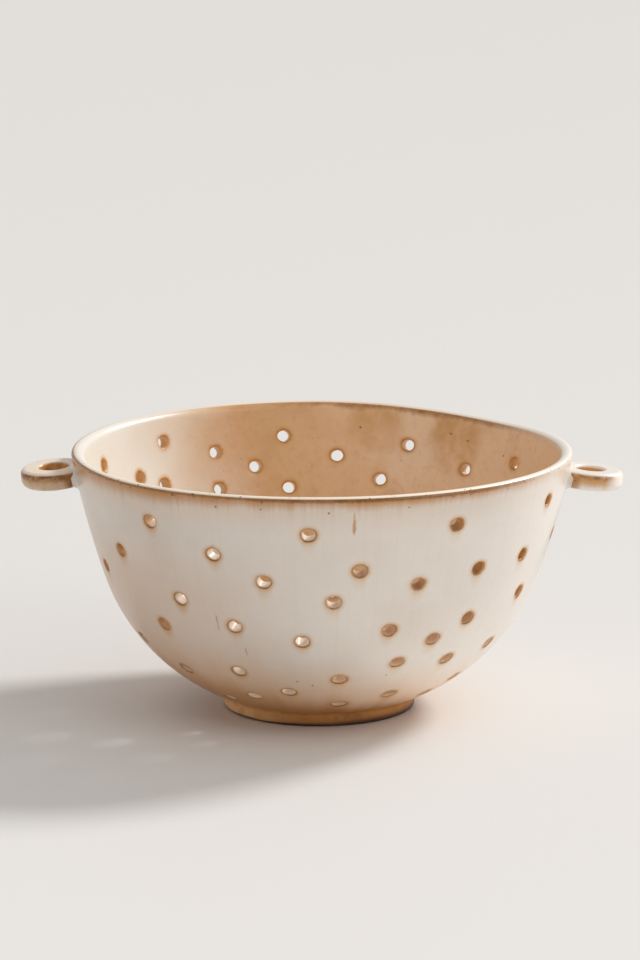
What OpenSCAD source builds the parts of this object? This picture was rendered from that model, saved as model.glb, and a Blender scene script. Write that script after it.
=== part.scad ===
// Berry colander bowl: a pierced stoneware bowl on a turned foot, with a loop lug on each side.
// Millimetres. Origin at the middle of the foot's tread, +Z up, lugs on -X and +X, photo side -Y.

/* [Bowl] */
// outside diameter over the lip
rim_d = 180; // [170:1:192]
// height from the table to the top of the lip
bowl_h = 95; // [90:1:102]
// thickness of the upper wall and of its rounded lip
wall = 4.4; // [3.8:0.1:5.4]
// lean of the wall at the lip, in degrees from upright
lip_lean = 10.7; // [9:0.1:12.5]
// radius of the long curve of the upper wall
wall_curve = 284; // [240:1:340]
// radius of the belly's curve, which ends at the top of the foot
belly_curve = 74.4; // [70:0.1:78]
// how much tighter the belly's inside is than its outside, besides the wall: clay left towards the floor
belly_gain = 1.6; // [1:0.1:2.2]
// thickness of the floor in the middle
floor_t = 4.2; // [3:0.1:5.5]

/* [Foot] */
// outside diameter of the foot
foot_d = 69; // [62:0.5:74]
// height of the foot from the table to the bowl
foot_h = 4.7; // [3.8:0.1:5.8]
// width of the foot ring from outside to inside
foot_band = 6.4; // [5:0.1:8]
// rounding of the tread's edges
foot_edge = 1.2; // [0.6:0.1:1.6]
// radius of the soft seam in the corner above the foot
foot_seam_r = 1.4; // [0.9:0.1:1.8]

/* [Lugs] */
// diameter of the hole in a lug
lug_hole_d = 10.4; // [8:0.1:12]
// width of clay round that hole
lug_band = 6.8; // [5.8:0.1:7.4]
// height of a lug
lug_h = 6.8; // [5.6:0.1:8]
// from the top of the lip down to the top of a lug
lug_drop = 6.6; // [6:0.1:9]
// clear gap between the lip and the lug's hole, seen from above
lug_gap = 1.2; // [0.8:0.1:1.8]
// droop of a lug from its root to its outer end, in degrees
lug_droop = 5; // [0:0.5:7]
// how far the seam round a lug's root stands off the wall
lug_seam_t = 2.2; // [1.4:0.1:2.4]
// how far that seam reaches above and below the lug
lug_seam_reach = 2; // [1.6:0.1:2.6]

/* [Piercing] */
// diameter of a drain hole at its waist
hole_d = 4.4; // [3.8:0.1:5.4]
// how far a hole opens out to each mouth
hole_flare = 0.8; // [0.5:0.1:1]
// ring of drain holes in the floor: radius
floor_ring_r = 17; // [15:0.5:19]
// ring of drain holes in the floor: how many
floor_ring_n = 6; // [4:1:7]

/* [Hidden] */
$fn = 64;
far = 400;

// the wall's curve starts this far inside the belly's, so the two cross in one clean line
tuck = 0.03;
// the same for the lip's round over the wall's two faces
lip_tuck = 0.005;
// how far a hole's cutter runs past each face of the clay
past = 0.6;

// lip: a full round on the middle of the wall
lip_r = wall / 2;
lip_x = rim_d / 2 - lip_r;
lip_z = bowl_h - lip_r;

// upper wall: centre of its long curve
wall_x = lip_x - (wall_curve - lip_r) * cos(lip_lean);
wall_z = lip_z + (wall_curve - lip_r) * sin(lip_lean);

// belly outside: runs smoothly out of the wall's curve and down to the foot's upper corner, so its
// centre is found in the triangle of the wall's centre, that corner and itself
foot_r = foot_d / 2;
belly_reach = wall_curve - belly_curve;
foot_reach = sqrt(pow(foot_r - wall_x, 2) + pow(foot_h - wall_z, 2));
belly_swing = acos((pow(belly_reach, 2) + pow(foot_reach, 2) - pow(belly_curve, 2))
                   / (2 * belly_reach * foot_reach));
belly_turn = atan2(foot_h - wall_z, foot_r - wall_x) + belly_swing;
belly_x = wall_x + belly_reach * cos(belly_turn);
belly_z = wall_z + belly_reach * sin(belly_turn);
joint_z = belly_z + belly_curve * sin(belly_turn);

// belly inside: a tighter curve, so the clay thickens towards the floor
floor_z = foot_h + floor_t;
pool_curve = belly_curve - wall - belly_gain;
pool_wall = wall_curve - wall;
pool_turn = asin((pool_curve + floor_z - wall_z) / (pool_wall - pool_curve));
pool_x = wall_x + (pool_wall - pool_curve) * cos(pool_turn);
pool_z = floor_z + pool_curve;

// lugs
lug_hole_r = lug_hole_d / 2;
lug_x = rim_d / 2 + lug_gap + lug_hole_r;
lug_z = bowl_h - lug_drop - lug_h / 2;
root_x = out_r(lug_z);
lug_top_edge = 1.4;
lug_low_edge = 2.2;
lug_hole_edge = 1.0;

// soft mound round a lug's root: a lying capsule sunk into the wall
mound_half_h = lug_h / 2 + lug_seam_reach;
mound_r = (pow(mound_half_h, 2) + pow(lug_seam_t, 2)) / (2 * lug_seam_t);
mound_in = 1;
mound_half_w = lug_hole_r + lug_band - mound_in;

// outside of the bowl at a height: radius, and slope of its outward normal
function out_r(z) = z < joint_z
  ? belly_x + sqrt(pow(belly_curve, 2) - pow(z - belly_z, 2))
  : wall_x + sqrt(pow(wall_curve, 2) - pow(z - wall_z, 2));
function out_slope(z) = z < joint_z
  ? asin((z - belly_z) / belly_curve)
  : asin((z - wall_z) / wall_curve);

// clay's thickness along that normal, from the outside to the inside curve
function to_pool(dx, dz, a) =
  let (along = dx * cos(a) + dz * sin(a))
  along - sqrt(pow(pool_curve, 2) - dx * dx - dz * dz + along * along);
function thick(z) = z < joint_z
  ? to_pool(out_r(z) - pool_x, z - pool_z, out_slope(z))
  : wall;

// hand-punched holes, in slanting runs as they follow each other round the bowl: bearing in degrees
// from the photo side towards +X, then height in hundredths of the way from the foot to the lip
front_runs = [
  [[-71, 58], [-47, 41], [-26, 24], [-11, 15], [8, 8]],
  [[-57, 69], [-38, 54], [-23, 45], [-5, 40], [6, 22], [27, 12]],
  [[-43, 85], [-26, 75], [-14, 65], [3, 57], [18, 44], [23, 29]],
  [[-3, 85], [9, 70], [24, 63], [42, 45], [32, 38], [41, 27]],
  [[32, 86], [41, 66], [63, 50], [60, 29], [58, 14], [50, 8]],
  [[65, 87], [58, 67], [79, 69]],
  [[-67, 29], [-50, 20], [-26, 11], [-42, 7]]
];
back_runs = [
  [[121, 83], [139, 76], [164, 68], [189, 64], [209, 65], [227, 70]],
  [[157, 83], [176, 77], [198, 73], [209, 80], [236, 75], [253, 85]],
  [[190, 85], [225, 87]]
];
// the runs that the photo doesn't show, laid in the same way
hidden_runs = [
  [[104, 73], [124, 65], [146, 60], [168, 53], [188, 48], [206, 40], [226, 33]],
  [[266, 69], [247, 59], [230, 52], [210, 50], [193, 33], [174, 37], [155, 43]],
  [[108, 54], [130, 50], [136, 34], [154, 27], [176, 21], [200, 18], [222, 14]],
  [[86, 48], [98, 33], [116, 38], [114, 20], [135, 18], [157, 12], [184, 8]],
  [[267, 47], [250, 43], [266, 26], [246, 27], [242, 12], [263, 10], [89, 22]],
  [[80, 35], [88, 7], [123, 7], [210, 7]]
];

// everything on one side of a line through a point at an angle
module half(x, z, angle) {
  translate([x, z])
    rotate(angle)
      translate([-far, 0])
        square([2 * far, far]);
}

// belly curve and wall curve joined, as one filled outline
module bowed(belly, bx, bz, wall_c, turn) {
  translate([bx, bz])
    circle(belly, $fn = 360);
  intersection() {
    translate([wall_x, wall_z])
      circle(wall_c - tuck, $fn = 720);
    half(bx, bz, turn);
  }
}

// filled outline of the outside, from the foot's seat up
module outside() {
  intersection() {
    bowed(belly_curve, belly_x, belly_z, wall_curve, belly_turn);
    translate([0, foot_h])
      square([far, far]);
  }
}

// filled outline of the inside, from the flat of the floor up
module inside() {
  intersection() {
    union() {
      bowed(pool_curve, pool_x, pool_z, pool_wall, pool_turn);
      translate([-1, floor_z])
        square([max(pool_x, 0) + 1, pool_curve]);
    }
    translate([-far, floor_z + tuck])
      square([2 * far, far]);
  }
}

module shell_section() {
  difference() {
    outside();
    inside();
    half(lip_x, lip_z, -lip_lean);
  }
  translate([lip_x, lip_z])
    circle(lip_r + lip_tuck);
}

// block with its own rounding at each corner: low near, low far, top far, top near
module soft_block(w, h, low_near, low_far, top_far, top_near) {
  polygon([[low_near, 0], [w - low_far, 0], [w, low_far], [w, h - top_far],
           [w - top_far, h], [top_near, h], [0, h - top_near], [0, low_near]]);
  translate([low_near, low_near])
    circle(low_near);
  translate([w - low_far, low_far])
    circle(low_far);
  translate([w - top_far, h - top_far])
    circle(top_far);
  translate([top_near, h - top_near])
    circle(top_near);
}

// one hole, waisted in the middle of the clay: outside face at 0, inside face at -t
module punch(t) {
  sweep = (t * t / 4 + hole_flare * hole_flare) / (2 * hole_flare);
  rotate_extrude($fn = 48)
    difference() {
      translate([0, -t - past])
        square([hole_d / 2 + sweep, t + 2 * past]);
      translate([hole_d / 2 + sweep, -t / 2])
        circle(sweep, $fn = 180);
    }
}

// the wall's holes, square to the outside
module wall_holes(runs) {
  for (run = runs)
    for (hole = run) {
      z = foot_h + (bowl_h - foot_h) * hole[1] / 100;
      rotate(hole[0] - 90)
        translate([out_r(z), 0, z])
          rotate([0, 90 - out_slope(z), 0])
            punch(thick(z));
    }
}

// the floor's holes: one in the middle and a ring
module floor_holes() {
  ring_rise = pool_curve - sqrt(pow(pool_curve, 2) - pow(max(0, floor_ring_r - pool_x), 2));
  translate([0, 0, foot_h])
    rotate([180, 0, 0])
      punch(floor_t);
  for (i = [0 : floor_ring_n - 1])
    rotate(360 / floor_ring_n * i)
      translate([floor_ring_r, 0, foot_h])
        rotate([180, 0, 0])
          punch(floor_t + ring_rise);
}

// everything inside the bowl's outer face, for seating what is stuck on it
module bowl_blank() {
  rotate_extrude($fn = 240)
    intersection() {
      outside();
      square([far, bowl_h]);
    }
}

// a lug as a whole ring, before it is cut to the wall
module lug_ring() {
  translate([root_x, 0, lug_z])
    rotate([0, lug_droop, 0])
      translate([lug_x - root_x, 0, -lug_h / 2])
        rotate_extrude($fn = 120)
          translate([lug_hole_r, 0])
            soft_block(lug_band, lug_h, lug_hole_edge, lug_low_edge, lug_top_edge, lug_hole_edge);
}

module lug() {
  difference() {
    lug_ring();
    bowl_blank();
  }
}

module lug_seam() {
  slope = out_slope(lug_z);
  sunk = mound_r - lug_seam_t;
  difference() {
    translate([root_x - sunk * cos(slope), 0, lug_z - sunk * sin(slope)])
      rotate([90, 0, 0])
        rotate_extrude($fn = 72)
          intersection() {
            union() {
              translate([0, mound_half_w - mound_half_h])
                circle(mound_r, $fn = 72);
              translate([0, mound_half_h - mound_half_w])
                circle(mound_r, $fn = 72);
              translate([0, mound_half_h - mound_half_w])
                square([mound_r, 2 * (mound_half_w - mound_half_h)]);
            }
            translate([0, -far])
              square([far, 2 * far]);
          }
    bowl_blank();
    lug_ring();
  }
}

module bowl_shell() {
  color("#cfc2b0")
    difference() {
      rotate_extrude($fn = 180)
        shell_section();
      wall_holes(front_runs);
      wall_holes(back_runs);
      wall_holes(hidden_runs);
      floor_holes();
    }
}

module foot_ring() {
  color("#9c7a58")
    rotate_extrude($fn = 180)
      translate([foot_r - foot_band, 0])
        soft_block(foot_band, foot_h, foot_edge, foot_edge, 0.2, 0.2);
}

// clay pressed into the corner between the foot and the belly
module foot_seam() {
  seam_x = foot_r + foot_seam_r;
  seam_z = belly_z - sqrt(pow(belly_curve, 2) - pow(seam_x - belly_x, 2));
  color("#b59a7a")
    rotate_extrude($fn = 180)
      difference() {
        polygon([[foot_r, foot_h - foot_seam_r], [seam_x, seam_z], [foot_r, seam_z + 1]]);
        translate([belly_x, belly_z])
          circle(belly_curve, $fn = 720);
      }
}

module left_handle() {
  color("#d8cdbd")
    mirror([1, 0, 0])
      lug();
}

module right_handle() {
  color("#d8cdbd")
    lug();
}

module left_handle_seam() {
  color("#c4b29a")
    mirror([1, 0, 0])
      lug_seam();
}

module right_handle_seam() {
  color("#c4b29a")
    lug_seam();
}

bowl_shell();
foot_ring();
foot_seam();
left_handle();
right_handle();
left_handle_seam();
right_handle_seam();
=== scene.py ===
import math
import bmesh
import bpy
from mathutils import Matrix, Vector, kdtree, noise


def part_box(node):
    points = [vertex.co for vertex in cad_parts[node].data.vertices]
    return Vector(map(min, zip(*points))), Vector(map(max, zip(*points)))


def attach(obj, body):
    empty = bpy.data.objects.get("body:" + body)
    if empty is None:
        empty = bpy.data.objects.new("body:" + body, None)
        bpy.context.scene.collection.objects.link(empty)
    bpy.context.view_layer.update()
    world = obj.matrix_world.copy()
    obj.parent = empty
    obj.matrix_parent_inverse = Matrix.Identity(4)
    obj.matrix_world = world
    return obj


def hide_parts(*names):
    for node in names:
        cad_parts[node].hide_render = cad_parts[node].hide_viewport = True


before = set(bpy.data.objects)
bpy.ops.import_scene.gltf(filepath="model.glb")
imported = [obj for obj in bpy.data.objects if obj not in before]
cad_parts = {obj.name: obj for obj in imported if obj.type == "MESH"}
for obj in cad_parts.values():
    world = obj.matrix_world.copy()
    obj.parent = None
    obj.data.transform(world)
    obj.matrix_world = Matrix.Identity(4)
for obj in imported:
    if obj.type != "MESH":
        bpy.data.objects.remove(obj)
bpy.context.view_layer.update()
mm = 0.001
scene = bpy.context.scene

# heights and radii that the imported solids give
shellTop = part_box("bowl_shell")[1]
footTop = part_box("foot_ring")[1]
rimR, bowlH = shellTop.x, shellTop.z
footR, footH = footTop.x, footTop.z
print("frame loaded, rim", round(2 * rimR / mm), "mm, height", round(bowlH / mm), "mm")


# bowl section, worked out as in the solids
bowl = {
    "wall": 4.4 * mm,
    "lipLean": math.radians(10.7),    # wall's lean at the lip
    "wallCurve": 284 * mm,
    "bellyCurve": 74.4 * mm,
    "poolCurve": 68.4 * mm,
    "floor": 4.2 * mm,
    "columns": 264,
    "step": 1.9 * mm,                 # length of one profile edge
    "floorStep": 3.2 * mm,
    "edgeStep": 0.3 * mm,
    "rollStep": 0.45 * mm,
    "lipOut": 1.5 * mm,               # rounding of the lip's outer edge
    "wobble": 0.22 * mm,              # hand-made unevenness
    "slow": 14,                       # its wide swings, and the quicker ones
    "quick": 32,
    "warp": 0.5 * mm,                 # how far the lip is out of level
    "warpTurn": 0.75 * math.pi,
    "warpTilt": 1.3,                  # how much of that falls from left to right
    "dent": 0.9 * mm,                 # low stretch of the lip, far right
    "dentTurn": 0.24 * math.pi,
    "dentWide": 0.36,
    "dip": 0.85 * mm,                 # and another, near left
    "dipTurn": -1.86 * math.pi,       # its middle is half a turn on from here
    "dipWide": 0.73,
    "lipOnly": 9,                     # power of the height that keeps both to the lip
    "lean": 1.0 * mm,                 # how far the foot is off the middle
    "runLimit": 15,                   # millimetres from the lip that the glaze asks for
}
lipR = bowl["wall"] / 2
lipX = rimR - lipR
lipZ = bowlH - lipR
wallX = lipX - (bowl["wallCurve"] - lipR) * math.cos(bowl["lipLean"])
wallZ = lipZ + (bowl["wallCurve"] - lipR) * math.sin(bowl["lipLean"])
bellyReach = bowl["wallCurve"] - bowl["bellyCurve"]
footReach = math.hypot(footR - wallX, footH - wallZ)
bellySwing = math.acos((bellyReach ** 2 + footReach ** 2 - bowl["bellyCurve"] ** 2)
                       / (2 * bellyReach * footReach))
bellyTurn = math.atan2(footH - wallZ, footR - wallX) + bellySwing
bellyX = wallX + bellyReach * math.cos(bellyTurn)
bellyZ = wallZ + bellyReach * math.sin(bellyTurn)
jointZ = bellyZ + bowl["bellyCurve"] * math.sin(bellyTurn)
floorZ = footH + bowl["floor"]
poolWall = bowl["wallCurve"] - bowl["wall"]
poolTurn = math.asin((bowl["poolCurve"] + floorZ - wallZ) / (poolWall - bowl["poolCurve"]))
poolX = wallX + (poolWall - bowl["poolCurve"]) * math.cos(poolTurn)
poolZ = floorZ + bowl["poolCurve"]

# lip: a tight round outside and a slow one inside, which meet on top
edgeR = bowl["lipOut"]
edgeZ = bowlH - edgeR
edgeTurn = math.asin((edgeZ - wallZ) / (bowl["wallCurve"] - edgeR))
edgeX = wallX + (bowl["wallCurve"] - edgeR) * math.cos(edgeTurn)
rollR = ((edgeX - wallX) ** 2 + (bowlH - wallZ) ** 2 - poolWall ** 2) / (2 * (poolWall + bowlH - wallZ))
rollZ = bowlH - rollR
rollTurn = math.atan2(rollZ - wallZ, edgeX - wallX)


def outsideAt(z):                     # radius and slope of the outward normal
    if z < jointZ:
        slope = math.asin((z - bellyZ) / bowl["bellyCurve"])
        return bellyX + bowl["bellyCurve"] * math.cos(slope), slope
    slope = math.asin((z - wallZ) / bowl["wallCurve"])
    return wallX + bowl["wallCurve"] * math.cos(slope), slope


def clayAt(z):                        # thickness along that normal, and the inside's slope
    r, slope = outsideAt(z)
    if z >= jointZ:
        return bowl["wall"], slope
    dx, dz = r - poolX, z - poolZ
    along = dx * math.cos(slope) + dz * math.sin(slope)
    t = along - math.sqrt(bowl["poolCurve"] ** 2 - dx * dx - dz * dz + along * along)
    inner = math.atan2(dz - t * math.sin(slope), dx - t * math.cos(slope))
    return t, inner


def handMoved(p):                     # slow unevenness of a hand-made pot, the same for every piece
    rise = min(1, max(0, p.z / bowlH))
    side = Vector((p.x, p.y, 0))
    out = side.normalized() if side.length > 5 * mm else Vector((0, 0, 0))
    push = noise.noise(p * bowl["slow"]) + 0.5 * noise.noise(p * bowl["quick"] + Vector((5, 2, 9)))
    push -= 1.2                       # inwards only
    turn = math.atan2(p.y, p.x)
    lift = bowl["warp"] * (math.cos(2 * (turn - bowl["warpTurn"])) - bowl["warpTilt"] * p.x / rimR)
    if lift > 0:
        lift *= min(1, 12 * (1 - rise))   # never above the lip's full height
    lift *= rise ** 3
    aside = turn - bowl["dentTurn"]
    lift -= bowl["dent"] * math.exp(-(aside / bowl["dentWide"]) ** 2) * rise ** bowl["lipOnly"]
    aside = (turn - bowl["dipTurn"]) % (2 * math.pi) - math.pi
    lift -= bowl["dip"] * math.exp(-(aside / bowl["dipWide"]) ** 2) * rise ** bowl["lipOnly"]
    lift *= min(1, side.length / rimR)
    lean = bowl["lean"] * (1 - rise) ** 2
    return p + out * push * bowl["wobble"] * rise ** 0.7 + Vector((-lean, 0, lift))


def sweepArc(bm, vert, centre, angle, step):   # carries a profile round an arc, anticlockwise if positive
    radius = math.hypot(vert.co.x - centre[0], vert.co.z - centre[1])
    steps = max(3, round(abs(angle) * radius / step))
    made = bmesh.ops.spin(bm, geom=[vert], cent=(centre[0], 0, centre[1]), axis=(0, -1, 0),
                          angle=angle, steps=steps, use_merge=False)
    return [g for g in made["geom_last"] if isinstance(g, bmesh.types.BMVert)][0]


oneEdge = 9                           # a step longer than any line here, which leaves it one edge


def sweepLine(bm, vert, x, z, step):
    run = Vector((x, 0, z)) - vert.co
    steps = max(1, round(run.length / step))
    for _ in range(steps):
        made = bmesh.ops.extrude_vert_indiv(bm, verts=[vert])
        vert = made["verts"][0]
        vert.co += run / steps
    return vert


def turnAround(bm, columns):          # spins a finished profile about the bowl's axis
    bmesh.ops.spin(bm, geom=bm.verts[:] + bm.edges[:], cent=(0, 0, 0), axis=(0, 0, 1),
                   angle=2 * math.pi, steps=columns, use_merge=True)
    bmesh.ops.remove_doubles(bm, verts=bm.verts[:], dist=0.001 * mm)
    bmesh.ops.recalc_face_normals(bm, faces=bm.faces[:])


def newPiece(name, bm):
    mesh = bpy.data.meshes.new(name)
    bm.to_mesh(mesh)
    bm.free()
    mesh.polygons.foreach_set("use_smooth", [True] * len(mesh.polygons))
    piece = bpy.data.objects.new(name, mesh)
    scene.collection.objects.link(piece)
    return piece


def finishPiece(piece, node, material):
    for v in piece.data.vertices:
        v.co = handMoved(v.co)
    piece.data.materials.clear()
    piece.data.materials.append(material)
    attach(piece, "root")
    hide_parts(node)
    print("piece", piece.name, len(piece.data.polygons), "faces")


# bearing from the photo side towards +X, then height in hundredths of the way from foot to lip
holes = {
    "waistR": 2.2 * mm,
    "edge": 0.85 * mm,                # rounding of the mouths
    "wide": 1.03,
    "tall": 0.93,                     # punched a little flat
    "uneven": 0.07,
    "around": 32,
    "past": 1.2 * mm,                 # how far a cutter runs past each face
    "sink": 0.12 * mm,                # how much deeper the inner mouth's rounding lies
    "mouthStep": 0.2 * mm,
    "boreStep": 0.8 * mm,
    "farthest": 15 * mm,              # no mark of a hole reaches further
    "look": 17 * mm,
    "front": [
        [(-71, 58), (-47, 41), (-26, 24), (-11, 15), (8, 8)],
        [(-57, 69), (-38, 54), (-23, 45), (-5, 40), (6, 22), (27, 12)],
        [(-43, 85), (-26, 75), (-14, 65), (3, 57), (18, 44), (23, 29)],
        [(-3, 85), (9, 70), (24, 63), (42, 45), (32, 38), (41, 27)],
        [(32, 86), (41, 66), (63, 50), (60, 29), (58, 14), (50, 8)],
        [(65, 87), (58, 67), (79, 69)],
        [(-67, 29), (-50, 20), (-26, 11), (-42, 7)],
    ],
    "back": [
        [(121, 83), (139, 76), (164, 68), (189, 64), (209, 65), (227, 70)],
        [(157, 83), (176, 77), (198, 73), (209, 80), (236, 75), (253, 85)],
        [(190, 85), (225, 87)],
    ],
    "hidden": [
        [(104, 73), (124, 65), (146, 60), (168, 53), (188, 48), (206, 40), (226, 33)],
        [(266, 69), (247, 59), (230, 52), (210, 50), (193, 33), (174, 37), (155, 43)],
        [(108, 54), (130, 50), (136, 34), (154, 27), (176, 21), (200, 18), (222, 14)],
        [(86, 48), (98, 33), (116, 38), (114, 20), (135, 18), (157, 12), (184, 8)],
        [(267, 47), (250, 43), (266, 26), (246, 27), (242, 12), (263, 10), (89, 22)],
        [(80, 35), (88, 7), (123, 7), (210, 7)],
    ],
    "floorRingR": 17 * mm,
    "floorRing": 6,
}


def holePlaces():                     # matrix with Z out of the bowl, thickness, inner tilt
    places = []
    for runs in (holes["front"], holes["back"], holes["hidden"]):
        for run in runs:
            for bearing, share in run:
                z = footH + (bowlH - footH) * share / 100
                r, slope = outsideAt(z)
                t, inner = clayAt(z)
                turn = Matrix.Rotation(math.radians(bearing - 90), 4, "Z")
                tip = Matrix.Rotation(math.pi / 2 - slope, 4, "Y")
                m = turn @ Matrix.Translation((r, 0, z)) @ tip
                places.append((m, t, inner - slope))
    flip = Matrix.Rotation(math.pi, 4, "X")
    spots = [(0, 0)] + [(holes["floorRingR"], 2 * math.pi * i / holes["floorRing"])
                        for i in range(holes["floorRing"])]
    for r, a in spots:
        rise = bowl["poolCurve"] - math.sqrt(bowl["poolCurve"] ** 2 - max(0, r - poolX) ** 2)
        m = Matrix.Translation((r * math.cos(a), r * math.sin(a), footH)) @ flip
        places.append((m, bowl["floor"] + rise, 0))
    return places


def mouthShape(i, x, y):              # reach of the uneven mouth of hole i that way, 1 if it were even
    turn = math.atan2(y, x)
    return 1 + holes["uneven"] * noise.noise((1.3 * math.cos(turn), 1.3 * math.sin(turn), 3.7 * i))


def holeCutters(places):
    bm = bmesh.new()
    e, a, past = holes["edge"], holes["waistR"], holes["past"]
    for i, (m, t, tilt) in enumerate(places):
        one = bmesh.new()
        v = one.verts.new((0, 0, past))
        v = sweepLine(one, v, a + e, past, oneEdge)
        v = sweepLine(one, v, a + e, 0, oneEdge)
        v = sweepArc(one, v, (a + e, -e), math.pi / 2, holes["mouthStep"])
        v = sweepLine(one, v, a, -t + e - holes["sink"], holes["boreStep"])
        v = sweepArc(one, v, (a + e, -t + e - holes["sink"]), math.pi / 2, holes["mouthStep"])
        v = sweepLine(one, v, a + e, -t - past, oneEdge)
        sweepLine(one, v, 0, -t - past, oneEdge)
        turnAround(one, holes["around"])
        for v in one.verts:           # the inner mouth follows the inner wall's own slope
            reach = mouthShape(i, v.co.x, v.co.y)
            v.co.x *= reach * holes["tall"]
            v.co.y *= reach * holes["wide"]
            depth = min(1, max(0, -v.co.z / t))
            v.co.z -= math.tan(tilt) * v.co.x * depth
        bmesh.ops.transform(one, matrix=m, verts=one.verts[:])
        part = bpy.data.meshes.new("cutter")
        one.to_mesh(part)
        one.free()
        bm.from_mesh(part)
        bpy.data.meshes.remove(part)
    return newPiece("holeCutters", bm)


def makeBowl():
    bm = bmesh.new()
    step = bowl["step"]
    v = bm.verts.new((0, 0, footH))
    v = sweepLine(bm, v, footR, footH, bowl["floorStep"])
    start = math.atan2(footH - bellyZ, footR - bellyX)
    v = sweepArc(bm, v, (bellyX, bellyZ), bellyTurn - start, step)
    v = sweepArc(bm, v, (wallX, wallZ), edgeTurn - bellyTurn, step)
    v = sweepArc(bm, v, (edgeX, edgeZ), math.pi / 2 - edgeTurn, bowl["edgeStep"])
    v = sweepArc(bm, v, (edgeX, rollZ), math.pi / 2 + rollTurn, bowl["rollStep"])
    v = sweepArc(bm, v, (wallX, wallZ), poolTurn - rollTurn, step)
    v = sweepArc(bm, v, (poolX, poolZ), -math.pi / 2 - poolTurn, step)
    sweepLine(bm, v, 0, floorZ, bowl["floorStep"])
    turnAround(bm, bowl["columns"])
    piece = newPiece("bowl", bm)
    places = holePlaces()
    cutters = holeCutters(places)
    cut = piece.modifiers.new("piercing", "BOOLEAN")
    cut.operation = "DIFFERENCE"
    cut.solver = "MANIFOLD"
    cut.object = cutters
    shaped = piece.evaluated_get(bpy.context.evaluated_depsgraph_get())
    mesh = bpy.data.meshes.new_from_object(shaped)
    piece.modifiers.clear()
    piece.data = mesh
    mesh.name = "bowl"
    bpy.data.objects.remove(cutters)
    mesh.polygons.foreach_set("use_smooth", [True] * len(mesh.polygons))
    markHoles(mesh, places)
    return piece


def lipRun(r, z):                     # way from the top of the lip along the clay, outside positive, in mm
    outside = r > edgeX if z > edgeZ else clayShare(r, z) < 0.5
    if outside:
        turn = max(math.atan2(z - edgeZ, r - edgeX), edgeTurn)
        below = edgeZ + edgeR * math.sin(edgeTurn) - z
        run = (math.pi / 2 - turn) * edgeR + max(0, below)
    else:
        turn = math.atan2(z - rollZ, r - edgeX)
        turn = min(turn if turn > 0 else turn + 2 * math.pi, math.pi + rollTurn)
        below = rollZ - rollR * math.sin(rollTurn) - z
        run = -(turn - math.pi / 2) * rollR - max(0, below)
    return run / mm


def clayShare(r, z):                  # 0 on the outside of the clay, 1 on the inside
    if r < footR and z < floorZ:
        return min(1, max(0, (z - footH) / bowl["floor"]))
    if z < jointZ:
        deep = bowl["bellyCurve"] - math.hypot(r - bellyX, z - bellyZ)
        full = bowl["floor"]
        if r > poolX:
            full = deep + math.hypot(r - poolX, z - poolZ) - bowl["poolCurve"]
        return min(1, max(0, deep / max(full, bowl["wall"])))
    return min(1, max(0, (bowl["wallCurve"] - math.hypot(r - wallX, z - wallZ)) / bowl["wall"]))


def markHoles(mesh, places):          # what the glaze follows: holes, what trails below them, lip, faces
    tree = kdtree.KDTree(len(places))
    for i, (m, t, _) in enumerate(places):
        tree.insert(m.to_translation() - m.to_3x3().col[2] * t / 2, i)
    tree.balance()
    inverse = [place[0].inverted() for place in places]
    marks = {"holeRho": [], "haloRho": [], "lipRun": [], "clay": []}
    for v in mesh.vertices:
        rho = halo = holes["farthest"]
        for co, i, _ in tree.find_range(v.co, holes["look"]):
            q = inverse[i] @ v.co
            x, y = q.x / holes["tall"], q.y / holes["wide"]
            rho = min(rho, math.hypot(x, y) / mouthShape(i, x, y))
            tail = 0.5 + 0.15 * noise.noise(co * 90)   # the tinge trails away below
            halo = min(halo, math.hypot(x * (tail if x > 0 else 1.4), y * 1.15))
        r = math.hypot(v.co.x, v.co.y)
        marks["holeRho"].append(rho / mm)
        marks["haloRho"].append(halo / mm)
        marks["lipRun"].append(max(-bowl["runLimit"], min(bowl["runLimit"], lipRun(r, v.co.z))))
        marks["clay"].append(clayShare(r, v.co.z))
    for name, values in marks.items():
        attribute = mesh.attributes.new(name, "FLOAT", "POINT")
        attribute.data.foreach_set("value", values)


foot = {
    "band": 6.4 * mm,
    "edge": 1.2 * mm,
    "seam": 1.7 * mm,                 # reach of the seam in the corner
    "sunk": 0.5 * mm,                 # how far the seam runs into its neighbours
    "tuck": 0.1 * mm,
    "columns": 192,
    "step": 1.6 * mm,
    "innerStep": 1.4 * mm,
    "outerStep": 1.0 * mm,
    "edgeStep": 0.3 * mm,
    "seamStep": 0.2 * mm,
}


def makeFoot():
    bm = bmesh.new()
    inner, e = footR - foot["band"], foot["edge"]
    v = bm.verts.new((inner, 0, footH))
    v = sweepLine(bm, v, inner, e, foot["innerStep"])
    v = sweepArc(bm, v, (inner + e, e), math.pi / 2, foot["edgeStep"])
    v = sweepLine(bm, v, footR - e, 0, foot["step"])
    v = sweepArc(bm, v, (footR - e, e), math.pi / 2, foot["edgeStep"])
    v = sweepLine(bm, v, footR, footH, foot["outerStep"])
    sweepLine(bm, v, inner, footH, foot["step"])
    turnAround(bm, foot["columns"])
    return newPiece("footRing", bm)


def makeFootSeam():
    bm = bmesh.new()
    reach, sunk = foot["seam"], foot["sunk"]
    slope = math.atan2(footH - bellyZ, footR - bellyX) + math.pi / 2
    radius = reach * math.tan((math.pi / 2 + slope) / 2)
    centre = (footR + radius, footH - reach)
    v = bm.verts.new((footR - sunk, 0, footH - reach))
    v = sweepLine(bm, v, footR, footH - reach, oneEdge)
    v = sweepArc(bm, v, centre, -(math.pi / 2 - slope), foot["seamStep"])
    v = sweepLine(bm, v, v.co.x - foot["tuck"], v.co.z + sunk, oneEdge)
    v = sweepLine(bm, v, footR - sunk, footH + sunk, oneEdge)
    sweepLine(bm, v, footR - sunk, footH - reach, oneEdge)
    turnAround(bm, foot["columns"])
    return newPiece("footSeam", bm)


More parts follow.
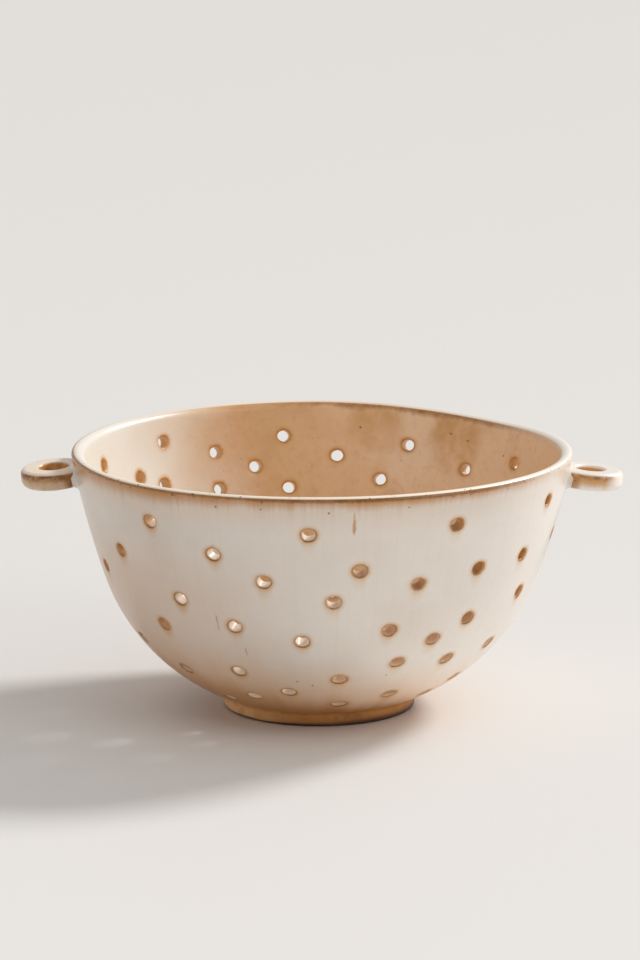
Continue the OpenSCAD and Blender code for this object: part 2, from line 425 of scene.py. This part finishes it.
lug = {
    "holeR": 5.2 * mm,
    "band": 6.8 * mm,
    "height": 6.8 * mm,
    "drop": 6.6 * mm,                 # from the lip's top to the lug's
    "gap": 1.2 * mm,                  # between the lip and the hole, from above
    "droop": math.radians(5),
    "tip": (math.radians(3), 0),      # roll towards the photo side, left and right
    "topEdge": 2.0 * mm,
    "lowEdge": 2.6 * mm,
    "holeEdge": 1.3 * mm,
    "columns": 96,
    "sunk": 1.2 * mm,                 # how far the root runs into the wall
    "step": 0.9 * mm,
    "boreStep": 1.0 * mm,
    "holeStep": 0.25 * mm,            # along the rounding of the hole, the low edge and the top
    "lowStep": 0.35 * mm,
    "topStep": 0.3 * mm,
}
lugX = rimR + lug["gap"] + lug["holeR"]
lugZ = bowlH - lug["drop"] - lug["height"] / 2
rootX, rootSlope = outsideAt(lugZ)


def makeLug(name, side):
    bm = bmesh.new()
    near, far = lug["holeR"], lug["holeR"] + lug["band"]
    low, high = lugZ - lug["height"] / 2, lugZ + lug["height"] / 2
    h, b, t = lug["holeEdge"], lug["lowEdge"], lug["topEdge"]
    v = bm.verts.new((near, 0, high - h))
    v = sweepLine(bm, v, near, low + h, lug["boreStep"])
    v = sweepArc(bm, v, (near + h, low + h), math.pi / 2, lug["holeStep"])
    v = sweepLine(bm, v, far - b, low, lug["step"])
    v = sweepArc(bm, v, (far - b, low + b), math.pi / 2, lug["lowStep"])
    v = sweepLine(bm, v, far, high - t, lug["step"])
    v = sweepArc(bm, v, (far - t, high - t), math.pi / 2, lug["topStep"])
    v = sweepLine(bm, v, near + h, high, lug["step"])
    sweepArc(bm, v, (near + h, high - h), math.pi / 2, lug["holeStep"])
    turnAround(bm, lug["columns"])
    drop = bm.verts.layers.float.new("drop")
    out = bm.verts.layers.float.new("out")
    for v in bm.verts:
        v[drop] = (high - v.co.z) / mm
        v[out] = (math.hypot(v.co.x, v.co.y) - near) / mm
    bmesh.ops.translate(bm, verts=bm.verts[:], vec=(lugX, 0, 0))
    pivot = Vector((rootX, 0, lugZ))
    bmesh.ops.rotate(bm, verts=bm.verts[:], cent=pivot, matrix=Matrix.Rotation(lug["droop"], 3, "Y"))
    tip = lug["tip"][side > 0]
    bmesh.ops.rotate(bm, verts=bm.verts[:], cent=pivot, matrix=Matrix.Rotation(tip, 3, "X"))
    inward = Vector((-math.cos(rootSlope), 0, -math.sin(rootSlope)))
    cut = bmesh.ops.bisect_plane(bm, geom=bm.verts[:] + bm.edges[:] + bm.faces[:], dist=0.001 * mm,
                                 plane_co=pivot + inward * lug["sunk"], plane_no=inward, clear_outer=True)
    rim = [g for g in cut["geom_cut"] if isinstance(g, bmesh.types.BMEdge)]
    bmesh.ops.edgeloop_fill(bm, edges=rim)
    root = bm.verts.layers.float.new("root")
    for v in bm.verts:
        v[root] = (math.hypot(v.co.x, v.co.y) - outsideAt(v.co.z)[0]) / mm
    if side < 0:
        bmesh.ops.scale(bm, vec=(-1, 1, 1), verts=bm.verts[:])
    bmesh.ops.recalc_face_normals(bm, faces=bm.faces[:])
    return newPiece(name, bm)


lugSeam = {
    "wallReach": (11.6 * mm, 5.6 * mm),   # half width and half height of the outline on the wall
    "lugReach": (10.2 * mm, 3.3 * mm),    # and of the outline on the lug
    "root": (9.5 * mm, 3.9 * mm),
    "stand": 2.0 * mm,
    "square": 0.62,                   # below 1 squares the outlines
    "buried": 0.05 * mm,              # the outer edge, just inside the wall
    "sunk": 0.6 * mm,                 # depth of the hidden rings
    "outerTuck": 0.4 * mm,
    "innerTuck": 1 * mm,
    "segments": 72,
    "rings": 7,
}


def makeLugSeam(name, side):
    bm = bmesh.new()
    rings = []
    count = lugSeam["rings"]
    for i in range(count + 1):
        s = i / count
        w = ((1 - s) ** 2, 2 * s * (1 - s), s * s)
        halfW = w[0] * lugSeam["wallReach"][0] + w[1] * lugSeam["root"][0] + w[2] * lugSeam["lugReach"][0]
        halfH = w[0] * lugSeam["wallReach"][1] + w[1] * lugSeam["root"][1] + w[2] * lugSeam["lugReach"][1]
        rings.append((halfW, halfH, s * s * lugSeam["stand"]))
    tuck = lugSeam["innerTuck"]
    rings.append((lugSeam["root"][0] - tuck, lugSeam["root"][1] - tuck, -lugSeam["sunk"]))
    tuck = lugSeam["outerTuck"]
    rings[0] = (rings[0][0], rings[0][1], -lugSeam["buried"])
    rings.insert(0, (rings[0][0] - tuck, rings[0][1] - tuck, -lugSeam["sunk"]))
    for halfW, halfH, stand in rings:
        made = bmesh.ops.create_circle(bm, segments=lugSeam["segments"], radius=1)
        for v in made["verts"]:
            c, s = v.co.x, v.co.y
            y = halfW * math.copysign(abs(c) ** lugSeam["square"], c)
            z = lugZ + halfH * math.copysign(abs(s) ** lugSeam["square"], s)
            z += y * math.tan(lug["tip"][side > 0])
            r, slope = outsideAt(z)
            flat = math.sqrt(r * r - y * y)
            v.co = (flat + stand * math.cos(slope), y, z + stand * math.sin(slope))
    edges = bm.edges[:]
    size = lugSeam["segments"]
    for i in range(len(rings)):
        a = edges[i * size:(i + 1) * size]
        j = (i + 1) % len(rings)
        b = edges[j * size:(j + 1) * size]
        bmesh.ops.bridge_loops(bm, edges=a + b)
    if side < 0:
        bmesh.ops.scale(bm, vec=(-1, 1, 1), verts=bm.verts[:])
    bmesh.ops.recalc_face_normals(bm, faces=bm.faces[:])
    return newPiece(name, bm)


class Wire:                           # a shader socket that takes arithmetic
    def __init__(self, tree, out):
        self.tree = tree
        self.out = out

    def node(self, kind, settings=None, sockets=None, output=0):
        made = self.tree.nodes.new(kind)
        for key, value in (settings or {}).items():
            setattr(made, key, value)
        for key, value in (sockets or {}).items():
            if isinstance(value, Wire):
                self.tree.links.new(value.out, made.inputs[key])
            else:
                made.inputs[key].default_value = value
        return Wire(self.tree, made.outputs[output])

    def maths(self, operation, first, second=0.0):
        return self.node("ShaderNodeMath", {"operation": operation}, {0: first, 1: second})

    def __add__(self, other):
        return self.maths("ADD", self, other)

    def __radd__(self, other):
        return self.maths("ADD", other, self)

    def __sub__(self, other):
        return self.maths("SUBTRACT", self, other)

    def __rsub__(self, other):
        return self.maths("SUBTRACT", other, self)

    def __mul__(self, other):
        return self.maths("MULTIPLY", self, other)

    def __rmul__(self, other):
        return self.maths("MULTIPLY", other, self)

    def smooth(self, low, high):      # 0 at low, 1 at high
        return self.node("ShaderNodeMapRange", {"interpolation_type": "SMOOTHSTEP"},
                         {"Value": self, "From Min": low, "From Max": high})

    def bumpFrom(self, centre, near, width):   # 1 as far as near from the centre, 0 a width away
        away = self.maths("ABSOLUTE", self - centre)
        return 1 - away.smooth(near, width)

    def bump(self, centre, width):
        return self.bumpFrom(centre, 0.0, width)

    def mix(self, first, second):     # colour between two, by this amount
        return self.node("ShaderNodeMix", {"data_type": "RGBA", "clamp_factor": True},
                         {0: self, 6: first, 7: second}, 2)


def srgb(r, g, b):                    # 0 to 255 as seen, to linear
    def one(c):
        c = c / 255
        return c / 12.92 if c <= 0.04045 else ((c + 0.055) / 1.055) ** 2.4
    return (one(r), one(g), one(b))


def rgba(colour):
    return (*colour, 1)


glaze = {
    "cream": srgb(222, 211, 199),
    "milk": srgb(237, 230, 222),
    "paintedLightWhite": srgb(247, 241, 231),
    "peach": srgb(222, 172, 122),
    "litPeach": srgb(242, 194, 146),
    "amber": srgb(210, 152, 64),
    "buff": srgb(205, 178, 149),
    "rust": srgb(188, 128, 60),
    "brown": srgb(126, 78, 26),
    "dark": srgb(60, 36, 20),
    "lip": srgb(240, 230, 217),
    "nearLip": srgb(255, 239, 216),
    "bore": srgb(243, 230, 213),
    "shadedBore": srgb(206, 148, 76),
    "litFarBore": srgb(224, 178, 118),
    "lowBore": srgb(244, 209, 172),
    "inside": srgb(214, 171, 124),
    "insideLight": srgb(226, 190, 148),
    "insideLeftLit": srgb(232, 227, 216),
    "insideRightLit": srgb(243, 209, 174),
    "insideDark": srgb(198, 138, 70),
    "cloud": srgb(240, 216, 190),
    "foot": srgb(198, 136, 72),
    "footLeftLit": srgb(242, 188, 128),
    "tread": srgb(54, 23, 4),
    "roughness": 0.36,
    "footRoughness": 0.6,
    "coat": 0.25,
    "footCoat": 0.05,
    "coatRoughness": 0.18,
    "bump": 0.25,
    "bowlRelief": 0.8 * mm,
    "relief": 0.6 * mm,
    "pale": (156, 84, 21 * mm),       # pale cloud on the far wall: bearing, height, size
    "stains": [(143, 89, 14 * mm, 1), (166, 91, 13 * mm, 0.8)],   # brown clouds there, with strength
    "runs": [(7.2, 90, 0.6 * mm, 5.4 * mm), (7.2, 87.5, 0.9 * mm, 3.2 * mm),
             (-28, 46, 0.55 * mm, 4.6 * mm), (-21.5, 34, 0.6 * mm, 2.0 * mm)],
    "grains": [(-7.5, 21, 0.5 * mm), (-2.5, 19, 0.65 * mm), (21, 23, 0.45 * mm), (1.5, 94, 0.55 * mm),
               (-24, 95, 0.5 * mm), (-13.5, 95, 0.4 * mm), (19.5, 95, 0.4 * mm), (-35, 98, 0.6 * mm),
               (145, 91, 0.6 * mm), (139.5, 89, 0.6 * mm), (170, 90, 0.5 * mm), (126, 86, 0.55 * mm)],
}


def startMaterial(name):
    material = bpy.data.materials.new(name)
    material.use_nodes = True
    tree = material.node_tree
    coord = Wire(tree, None).node("ShaderNodeTexCoord", output="Object")
    return material, tree.nodes["Principled BSDF"], coord


def marksAt(coord, *names):           # numbers that a piece carries at its points
    return [coord.node("ShaderNodeAttribute", {"attribute_name": name}, output="Fac") for name in names]


def splitXYZ(coord):
    split = coord.node("ShaderNodeSeparateXYZ", None, {0: coord})
    outs = split.out.node.outputs
    return [Wire(coord.tree, outs[i]) for i in range(3)]


def noiseAt(coord, scale, detail=3.0, rough=0.5):
    return coord.node("ShaderNodeTexNoise", None,
                      {"Vector": coord, "Scale": scale, "Detail": detail, "Roughness": rough})


def stretched(coord, x, y, z):
    return coord.node("ShaderNodeMapping", None, {"Vector": coord, "Scale": (x, y, z)})


def aroundWall(coord, slow):          # coordinates that go round the wall, and slowly down it
    out = coord.node("ShaderNodeVectorMath", {"operation": "MULTIPLY"}, {0: coord, 1: (1, 1, 0)})
    out = out.node("ShaderNodeVectorMath", {"operation": "NORMALIZE"}, {0: out})
    out = out.node("ShaderNodeVectorMath", {"operation": "SCALE"}, {0: out, "Scale": rimR})
    down = coord.node("ShaderNodeVectorMath", {"operation": "MULTIPLY"}, {0: coord, 1: (0, 0, slow)})
    return out.node("ShaderNodeVectorMath", {"operation": "ADD"}, {0: out, 1: down})


def raggedAt(coord, scale, amount):   # coordinates shaken by noise, for uneven edges
    shake = coord.node("ShaderNodeTexNoise", None, {"Vector": coord, "Scale": scale, "Detail": 2.0}, "Color")
    shake = shake.node("ShaderNodeVectorMath", {"operation": "SUBTRACT"}, {0: shake, 1: (0.5, 0.5, 0.5)})
    shake = shake.node("ShaderNodeVectorMath", {"operation": "SCALE"}, {0: shake, "Scale": amount})
    return shake.node("ShaderNodeVectorMath", {"operation": "ADD"}, {0: coord, 1: shake})


def specksAt(coord, scale, size, keep):   # a few dark grains, by cell
    cells = coord.node("ShaderNodeTexVoronoi", {"feature": "F1"},
                       {"Vector": coord, "Scale": scale, "Randomness": 1.0})
    tone = Wire(coord.tree, cells.out.node.outputs["Color"])
    pick = splitXYZ(tone)[0]
    distance = Wire(coord.tree, cells.out.node.outputs["Distance"])
    return (1 - distance.smooth(size * 0.6, size)) * pick.smooth(1 - keep, 1 - keep + 0.02)


def linkGlaze(shader, colour, rough, height, relief):
    links = colour.tree.links
    normal = height.node("ShaderNodeBump", None,
                         {"Strength": glaze["bump"], "Distance": relief, "Height": height})
    links.new(colour.out, shader.inputs["Base Color"])
    links.new(rough.out, shader.inputs["Roughness"])
    links.new(normal.out, shader.inputs["Normal"])
    shader.inputs["Coat Weight"].default_value = glaze["coat"]
    shader.inputs["Coat Roughness"].default_value = glaze["coatRoughness"]


def onWall(bearing, share):           # place on the wall for a mark, photo side and far side alike
    z = footH + (bowlH - footH) * share / 100
    r = outsideAt(z)[0]
    r -= bowl["wall"] if 90 < bearing < 270 else 0
    a = math.radians(bearing - 90)
    return handMoved(Vector((r * math.cos(a), r * math.sin(a), z)))


def spotAt(coord, place, size, tall=1.0):   # 1 in the middle of a mark, 0 at its edge
    away = coord.node("ShaderNodeVectorMath", {"operation": "SUBTRACT"}, {0: coord, 1: tuple(place)})
    away = away.node("ShaderNodeVectorMath", {"operation": "MULTIPLY"}, {0: away, 1: (1, 1, 1 / tall)})
    length = away.node("ShaderNodeVectorMath", {"operation": "LENGTH"}, {0: away}, "Value")
    return 1 - length.smooth(size * 0.45, size)


def paint(amount, under, name):       # one named glaze over another colour
    return amount.mix(under, rgba(glaze[name]))


def bowlGlaze():
    material, shader, coord = startMaterial("bowlGlaze")
    x, y, z = splitXYZ(coord)
    rho, halo, run, clay = marksAt(coord, "holeRho", "haloRho", "lipRun", "clay")
    cloud = noiseAt(coord, 30)
    patchy = noiseAt(coord, 75, 4, 0.6)
    fine = noiseAt(coord, 420, 4)
    streak = noiseAt(aroundWall(coord, 0.04), 620, 3)
    wide = noiseAt(aroundWall(coord, 0.15), 60, 3)
    inner = clay.smooth(0.35, 0.65)
    # outside: cream with faint upright streaks, paler to the right and low on the right as painted light,
    # warmer towards the foot and round to the left, partly as painted shade
    colour = paint(cloud.smooth(0.3, 0.7) * 0.6, rgba(glaze["cream"]), "milk")
    right = x.smooth(20 * mm, 88 * mm)
    # paler towards the right: painted light where the key light falls
    colour = paint(right * 0.7, colour, "milk")
    # near-white low on the right: painted bounce light from the floor
    colour = paint(x.smooth(0, 55 * mm) * (1 - z.smooth(25 * mm, 62 * mm)) * 0.7, colour, "paintedLightWhite")
    colour = paint(x.bump(-20 * mm, 45 * mm) * z.smooth(30 * mm, 50 * mm) * 0.5, colour, "milk")
    rightwards = x.smooth(-50 * mm, 0)
    tinge = rightwards.mix(rgba(glaze["peach"]), rgba(glaze["buff"]))
    colour = ((1 - run.smooth(2.0, 18.0)) * (0.3 + 0.2 * rightwards) * (1 - 0.6 * right)).mix(colour, tinge)
    colour = paint(streak.smooth(0.5, 0.8) * 0.1, colour, "buff")
    colour = paint(fine.smooth(0.5, 0.75) * 0.06, colour, "buff")
    height = z + (wide - 0.5) * (12 * mm)
    # warmer low on the left: painted warm shade
    colour = paint((1 - x.smooth(-80 * mm, 0)) * (1 - z.smooth(50 * mm, 84 * mm)) * 0.4, colour, "peach")
    # peach towards the foot on the left and a lighter copy on the right: painted shade and painted light
    flush = x.smooth(-20 * mm, 30 * mm).mix(rgba(glaze["peach"]), rgba(glaze["litPeach"]))
    colour = ((1 - (height + x * 0.12).smooth(5 * mm, 37 * mm)) * 0.85).mix(colour, flush)
    deep = 0.75 + 0.2 * x.bump(3 * mm, 26 * mm)
    # darker rust just above the foot: painted shade under the belly
    colour = paint((1 - (height + x * 0.16).smooth(5 * mm, 18 * mm)) * deep, colour, "rust")
    # inside: cream on the left as painted light where the key light falls, clouded tan elsewhere, the tan
    # partly the glaze and partly painted shade, lighter to the right as painted light
    warm = paint(patchy.smooth(0.3, 0.7), rgba(glaze["inside"]), "insideLight")
    # lighter towards the right: painted light
    warm = paint(x.smooth(-25 * mm, 55 * mm) * 0.85, warm, "insideRightLit")
    bearing, share, size = glaze["pale"]
    pale = spotAt(coord, onWall(bearing, share), size) * patchy.smooth(0.32, 0.6)
    warm = paint(pale * 0.7, warm, "cloud")
    warm = paint((patchy + cloud * 0.6).smooth(0.82, 1.1) * 0.4, warm, "insideDark")
    warm = paint(x.bump(-32 * mm, 36 * mm) * 0.3, warm, "insideDark")
    warm = paint(x.smooth(-60 * mm, -20 * mm) * 0.09, warm, "amber")
    for bearing, share, size, strength in glaze["stains"]:
        stain = spotAt(raggedAt(coord, 60, 10 * mm), onWall(bearing, share), size)
        stain = stain * patchy.smooth(0.25, 0.6) * strength
        warm = paint(stain * 0.62, warm, "amber")
        warm = paint(stain * 0.13, warm, "brown")
    warm = paint(fine.smooth(0.5, 0.72) * 0.2, warm, "insideDark")
    warm = paint(specksAt(coord, 300, 0.13, 0.3) * 0.28, warm, "brown")
    # cream on the left inside wall: painted light where the key light falls on it
    across = x + (cloud - 0.5) * (26 * mm) - (1 - z.smooth(66 * mm, 90 * mm)) * (9 * mm)
    left = 1 - across.smooth(-76 * mm, -29 * mm)
    warm = paint(left, warm, "insideLeftLit")
    colour = inner.mix(colour, warm)
    # lip: pale on top, part the glaze and part a painted highlight, whiter on the near lip as painted
    # highlight and on the far right as painted light, brown where the glaze breaks on the outer edge, and
    # fine streaks below
    # the pale top reaches further in on the far right, as painted light over its shaded inner roll
    within = 0 - run - 0.55 * x.smooth(0, 45 * mm) - 0.65 * right
    top = (1 - run.smooth(1.0, 1.6)) * (1 - within.smooth(1.0, 1.8))
    top = top * (1 - 0.5 * x.bump(15 * mm, 42 * mm) * y.smooth(0, 40 * mm))
    colour = paint(top * (0.85 - 0.4 * left), colour, "lip")
    # white on the far right of the lip: painted light
    colour = paint(top * right * 0.55, colour, "paintedLightWhite")
    outRun = run + 0.7 * (1 - x.smooth(-89 * mm, -66 * mm))
    # near-white on the near lip: painted highlight
    colour = paint(top * (1 - y.smooth(-70 * mm, -10 * mm)) * 0.7, colour, "nearLip")
    bare = 1 - x.smooth(50 * mm, 88 * mm)
    gritty = fine.smooth(0.2, 0.8)
    trail = outRun.smooth(2.0, 4.0) * (1 - outRun.smooth(4.0, 11.0)) * streak.smooth(0.45, 0.7)
    colour = paint(trail * 0.3 * (1 - x.smooth(0, 60 * mm)), colour, "buff")
    reach = 6.2 + 3 * (streak - 0.5) + 4 * (wide - 0.5) + 2.4 * (1 - x.smooth(-80 * mm, -10 * mm))
    fade = outRun.smooth(1.1, 1.7) * (1 - outRun.smooth(1.9, reach))
    colour = paint(fade * (0.6 + 0.7 * wide) * (0.15 + 0.85 * bare), colour, "rust")
    heavy = x.smooth(-45 * mm, 5 * mm)
    lipLine = 1 - outRun.smooth(1.8 + 0.3 * heavy, 2.7 + 0.5 * heavy + 2 * (streak - 0.5))
    lipLine = outRun.smooth(1.2, 1.6) * lipLine
    colour = paint(lipLine * (0.2 + 0.25 * heavy + 0.4 * wide + 0.4 * gritty) * bare, colour, "brown")
    farLine = 1 - within.smooth(1.9, 4.4 + 2 * (streak - 0.5) + 5 * (wide - 0.5))
    farLine = within.smooth(1.1, 1.7) * farLine
    farLine = farLine * (1 - left) * (1 - 0.85 * x.smooth(54 * mm, 84 * mm))
    colour = paint(farLine * (0.4 + 0.8 * wide) * (0.3 + 0.7 * x.smooth(-45 * mm, 5 * mm)), colour, "rust")
    colour = paint(farLine * x.smooth(-50 * mm, 25 * mm) * (0.2 + 0.55 * gritty), colour, "brown")
    # holes: a tinge about each, mostly below it, an uneven brown line round the mouth and a glazed bore,
    # darker in the bores on the right and at the far left as painted shade, lighter in the far wall as
    # painted light
    tail = (1 - halo.smooth(1.2, 4.6)) * (0.6 + 0.8 * (streak - 0.3))
    tail = tail * (0.4 + 0.35 * (1 - x.smooth(-60 * mm, 30 * mm)))
    ring = (1 - rho.smooth(2.6, 5.0)) * (0.45 + 0.45 * patchy.smooth(0.3, 0.7))
    close = (1 - rho.smooth(2.4, 3.7)) * (0.3 + 0.5 * patchy.smooth(0.3, 0.7))
    colour = paint(tail * (1 - inner), colour, "amber")
    colour = paint(ring * (0.7 + 0.1 * inner), colour, "amber")
    colour = paint(close * (0.8 + 0.2 * inner), colour, "rust")
    front = 1 - y.smooth(-20 * mm, 10 * mm)
    away = (y * 0.95 - x).smooth(-4 * mm, 6 * mm)   # the far left, where bores are seen edge on
    # darker bores on the right and at the far left, seen edge on: painted shade
    lining = paint(x.smooth(-8 * mm, 26 * mm) + away * 0.8, rgba(glaze["bore"]), "shadedBore")
    # lighter bores in the far wall: painted light
    lining = paint(1 - front, lining, "litFarBore")
    lowHole = 1 - z.smooth(24 * mm, 54 * mm)
    lining = paint(lowHole * 0.9, lining, "bore")
    lining = paint(lowHole * x.smooth(-10 * mm, 20 * mm), lining, "lowBore")
    below = (rho - halo).smooth(0.0, 1.0)
    lining = paint(below * x.smooth(0, 30 * mm) * z.smooth(38 * mm, 60 * mm) * 0.5, lining, "brown")
    # darker grit in the near bores, most where seen edge on: partly painted shade
    lining = paint(gritty * (0.25 + 0.5 * away) * front, lining, "rust")
    colour = (1 - rho.smooth(2.25, 2.6)).mix(colour, lining)
    mouth = rho.bump(2.68, 0.55) * (0.15 + 0.45 * patchy.smooth(0.3, 0.65) + 0.4 * below)
    colour = paint(mouth * (1 - 0.7 * inner), colour, "brown")
    colour = paint(mouth * inner * 0.8, colour, "rust")
    # grains of iron, most of them near the lip, the few that show clearly, and four short runs
    nearLip = outRun.bumpFrom(2.0, 0.6, 2.4)
    ragged = raggedAt(coord, 900, 0.7 * mm)
    grains = specksAt(ragged, 190, 0.055, 0.05) * 0.6 + specksAt(ragged, 460, 0.2, 0.9) * nearLip
    for bearing, share, size in glaze["grains"]:
        grains = grains + spotAt(ragged, onWall(bearing, share), size)
    colour = paint(grains * 0.75, colour, "dark")
    wall = aroundWall(ragged, 1.0)
    for bearing, share, size, tall in glaze["runs"]:
        turn = math.radians(bearing - 90)
        place = (rimR * math.cos(turn), rimR * math.sin(turn), footH + (bowlH - footH) * share / 100)
        trickle = spotAt(wall, place, size, tall / size) * (0.3 + 0.5 * gritty)
        colour = paint(trickle, colour, "rust")
    rough = glaze["roughness"] + (cloud - 0.5) * 0.12 + (gritty - 0.5) * 0.08
    rings = noiseAt(stretched(coord, 0.25, 0.25, 1), 130, 2)
    linkGlaze(shader, colour, rough, gritty * 0.1 + rings * 0.5 + cloud * 0.6, glaze["bowlRelief"])
    return material


def lugGlaze():
    material, shader, coord = startMaterial("lugGlaze")
    drop, out, root = marksAt(coord, "drop", "out", "root")
    cloud = noiseAt(coord, 90)
    fine = noiseAt(coord, 420, 4)
    streak = noiseAt(stretched(coord, 1, 1, 0.15), 330, 3)
    left = 1 - splitXYZ(coord)[0].smooth(-10 * mm, 10 * mm)
    colour = paint(cloud.smooth(0.35, 0.65), rgba(glaze["milk"]), "lip")
    colour = paint(left * 0.6, colour, "cloud")
    nose = root.smooth(12.0, 18.0) * (1 - left)   # of the right one, which stays pale
    side = out.smooth(4.6, 6.2) * (1 - nose)
    fade = side * drop.smooth(0.4, 1.3) * (1 - drop.smooth(2.4, 6.4 + 0.6 * left + 5 * (streak - 0.5)))
    colour = paint(fade * (0.9 - 0.2 * left + 0.6 * (cloud - 0.5)), colour, "rust")
    colour = paint(fade * 0.45, colour, "amber")
    colour = paint(side * left * drop.smooth(2.0, 4.0) * 0.45, colour, "buff")
    band = drop.smooth(1.2 + 0.4 * left, 2.6 + 0.9 * left + 4 * (streak - 0.4))
    band = side * drop.smooth(0.5, 1.1) * (1 - band)
    colour = paint(band * (0.1 + 0.2 * left + 0.9 * fine.smooth(0.3, 0.7)), colour, "brown")
    within = 1 - out.smooth(0.15 + 0.6 * left, 1.0 + 0.8 * left)
    within = within * drop.smooth(0.5 - 0.4 * left, 1.5 - 0.7 * left)
    colour = paint(within * 0.85, colour, "rust")
    colour = paint(within * 0.4, colour, "amber")
    colour = paint(within * left * fine.smooth(0.4, 0.65) * 0.5, colour, "brown")
    corner = (1 - root.smooth(2.6, 5.6)) * drop.smooth(1.0, 2.0) * side
    colour = paint(corner * 0.8, colour, "rust")
    colour = paint(corner * (0.2 + 0.6 * streak.smooth(0.35, 0.65)) * (0.5 + 0.5 * left), colour, "brown")
    grains = specksAt(coord, 420, 0.16, 0.1) * 0.7 + specksAt(coord, 500, 0.2, 0.6) * band * 0.7
    colour = paint(grains, colour, "dark")
    rough = glaze["roughness"] + (fine - 0.5) * 0.1
    linkGlaze(shader, colour, rough, fine * 0.2 + cloud, glaze["relief"])
    return material


def seamGlaze():
    material, shader, coord = startMaterial("seamGlaze")
    cloud = noiseAt(coord, 90)
    fine = noiseAt(coord, 420, 4)
    colour = paint(cloud.smooth(0.3, 0.7), rgba(glaze["cream"]), "milk")
    colour = paint(fine.smooth(0.5, 0.7) * 0.3, colour, "buff")
    rough = glaze["roughness"] + (fine - 0.5) * 0.1
    linkGlaze(shader, colour, rough, fine * 0.2 + cloud, glaze["relief"])
    return material


def footGlaze():
    material, shader, coord = startMaterial("footGlaze")
    x, z = splitXYZ(coord)[::2]
    cloud = noiseAt(coord, 60)
    fine = noiseAt(coord, 300, 4)
    # lighter on the left: painted warm bounce light
    right = (x + (cloud - 0.5) * (10 * mm)).smooth(-34 * mm, -6 * mm)
    colour = paint(1 - right, rgba(glaze["foot"]), "footLeftLit")
    colour = paint(fine.smooth(0.45, 0.7) * 0.35, colour, "rust")
    mottle = noiseAt(coord, 170, 4, 0.65)
    colour = paint(mottle.smooth(0.46, 0.68) * (0.15 + 0.25 * x.smooth(-25 * mm, 15 * mm)), colour, "brown")
    colour = paint(specksAt(coord, 420, 0.16, 0.25) * 0.45, colour, "dark")
    up = z + (cloud - 0.5) * (1.2 * mm)
    colour = paint((1 - up.smooth(0.8 * mm, 4.2 * mm)) * 0.85 * x.smooth(-36 * mm, 10 * mm), colour, "brown")
    # darkest along the lowest edge: the foot's brown with painted contact shade
    dark = (1.3 + 1.5 * x.smooth(-20 * mm, 25 * mm)) * mm
    colour = paint((1 - up.smooth(0.4 * mm, dark)) * 0.95, colour, "tread")
    rough = glaze["footRoughness"] + (fine - 0.5) * 0.15
    linkGlaze(shader, colour, rough, fine * 0.4 + cloud, glaze["relief"])
    shader.inputs["Coat Weight"].default_value = glaze["footCoat"]
    return material


bowlSkin = bowlGlaze()
lugSkin = lugGlaze()
seamSkin = seamGlaze()
footSkin = footGlaze()
print("glazes made")
finishPiece(makeBowl(), "bowl_shell", bowlSkin)
finishPiece(makeFoot(), "foot_ring", footSkin)
finishPiece(makeFootSeam(), "foot_seam", footSkin)
finishPiece(makeLug("leftLug", -1), "left_handle", lugSkin)
finishPiece(makeLug("rightLug", 1), "right_handle", lugSkin)
finishPiece(makeLugSeam("leftLugSeam", -1), "left_handle_seam", seamSkin)
finishPiece(makeLugSeam("rightLugSeam", 1), "right_handle_seam", seamSkin)


studio = {
    "floorColour": srgb(226, 223, 220),
    "floorRoughness": 0.6,
    "floorHalf": 6,
    "floorDrop": 0.02 * mm,           # just clear of the tread
    "worldColour": srgb(240, 238, 236),
    "worldStrength": 0.64,
    "sidePlace": (2.0, -1.5, 1.3),    # broad soft light from the right of the viewer
    "sideSize": 1.6,
    "sidePower": 13,
    "keyFrom": (0.66, 0.43, 0.62),    # direction of the key light
    "keyPower": 2.3,
    "keySoft": math.radians(14),
    "eye": (0.0, -1.600, 0.4144),
    "aim": (-0.0007, 0.0, 0.0826),
    "focalRows": 4545 / 960,          # focal length in frame heights
    "sensor": 24,
    "clipStart": 0.05,
}


def makeStage():
    bm = bmesh.new()
    bmesh.ops.create_grid(bm, x_segments=1, y_segments=1, size=studio["floorHalf"])
    bmesh.ops.translate(bm, verts=bm.verts[:], vec=(0, 0, -studio["floorDrop"]))
    floor = newPiece("floor", bm)
    material, shader = startMaterial("floorPaint")[:2]
    shader.inputs["Base Color"].default_value = rgba(studio["floorColour"])
    shader.inputs["Roughness"].default_value = studio["floorRoughness"]
    floor.data.materials.append(material)
    world = bpy.data.worlds.new("studio")
    scene.world = world
    world.use_nodes = True
    sky = world.node_tree.nodes["Background"]
    sky.inputs["Color"].default_value = rgba(studio["worldColour"])
    sky.inputs["Strength"].default_value = studio["worldStrength"]
    lamp = bpy.data.lights.new("key", "SUN")
    lamp.angle = studio["keySoft"]
    lamp.energy = studio["keyPower"]
    key = bpy.data.objects.new("key", lamp)
    scene.collection.objects.link(key)
    key.location = studio["keyFrom"]
    key.rotation_euler = (-key.location).to_track_quat("-Z", "Y").to_euler()
    soft = bpy.data.lights.new("side", "AREA")
    soft.shape = "DISK"
    soft.size = studio["sideSize"]
    soft.energy = studio["sidePower"]
    side = bpy.data.objects.new("side", soft)
    scene.collection.objects.link(side)
    side.location = studio["sidePlace"]
    side.rotation_euler = (-side.location).to_track_quat("-Z", "Y").to_euler()
    camera = bpy.data.cameras.new("view")
    camera.sensor_fit = "VERTICAL"
    camera.sensor_height = studio["sensor"]
    camera.lens = studio["sensor"] * studio["focalRows"]
    camera.clip_start = studio["clipStart"]
    eye = bpy.data.objects.new("view", camera)
    scene.collection.objects.link(eye)
    eye.location = studio["eye"]
    eye.rotation_euler = (Vector(studio["aim"]) - eye.location).to_track_quat("-Z", "Y").to_euler()
    scene.camera = eye
    scene.view_settings.view_transform = "Standard"
    print("stage set")


makeStage()
